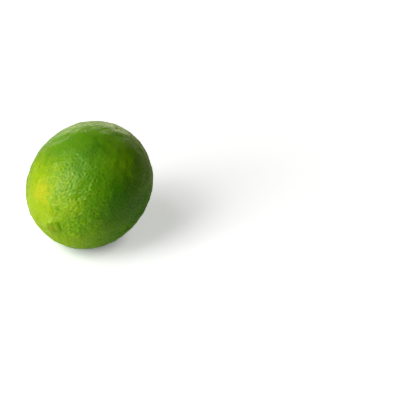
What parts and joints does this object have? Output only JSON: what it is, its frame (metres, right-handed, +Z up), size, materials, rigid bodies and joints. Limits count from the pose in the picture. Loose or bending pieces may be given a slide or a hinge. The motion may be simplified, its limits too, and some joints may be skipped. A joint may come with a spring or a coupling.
{
  "type": "lime",
  "caption": "Whole ripe green lime lying on its side, with a low nipple at the stylar end, a dry calyx button at the stem end and finely pitted peel.",
  "frame": {"origin": "on the surface the fruit rests on, at the middle of its outline seen from above", "axes": "+X along the fruit towards its stem end, +Z up, -Y towards the viewer's right front; the stylar end at -X dips by 12 degrees"},
  "size_m": [0.0624, 0.0546, 0.0535],
  "materials": {
    "peel": "waxy pitted citrus peel, softly shiny, green with a yellow patch on one cheek"
  },
  "bodies": {
    "root": {"lime": "peel"}
  },
  "joints": []
}
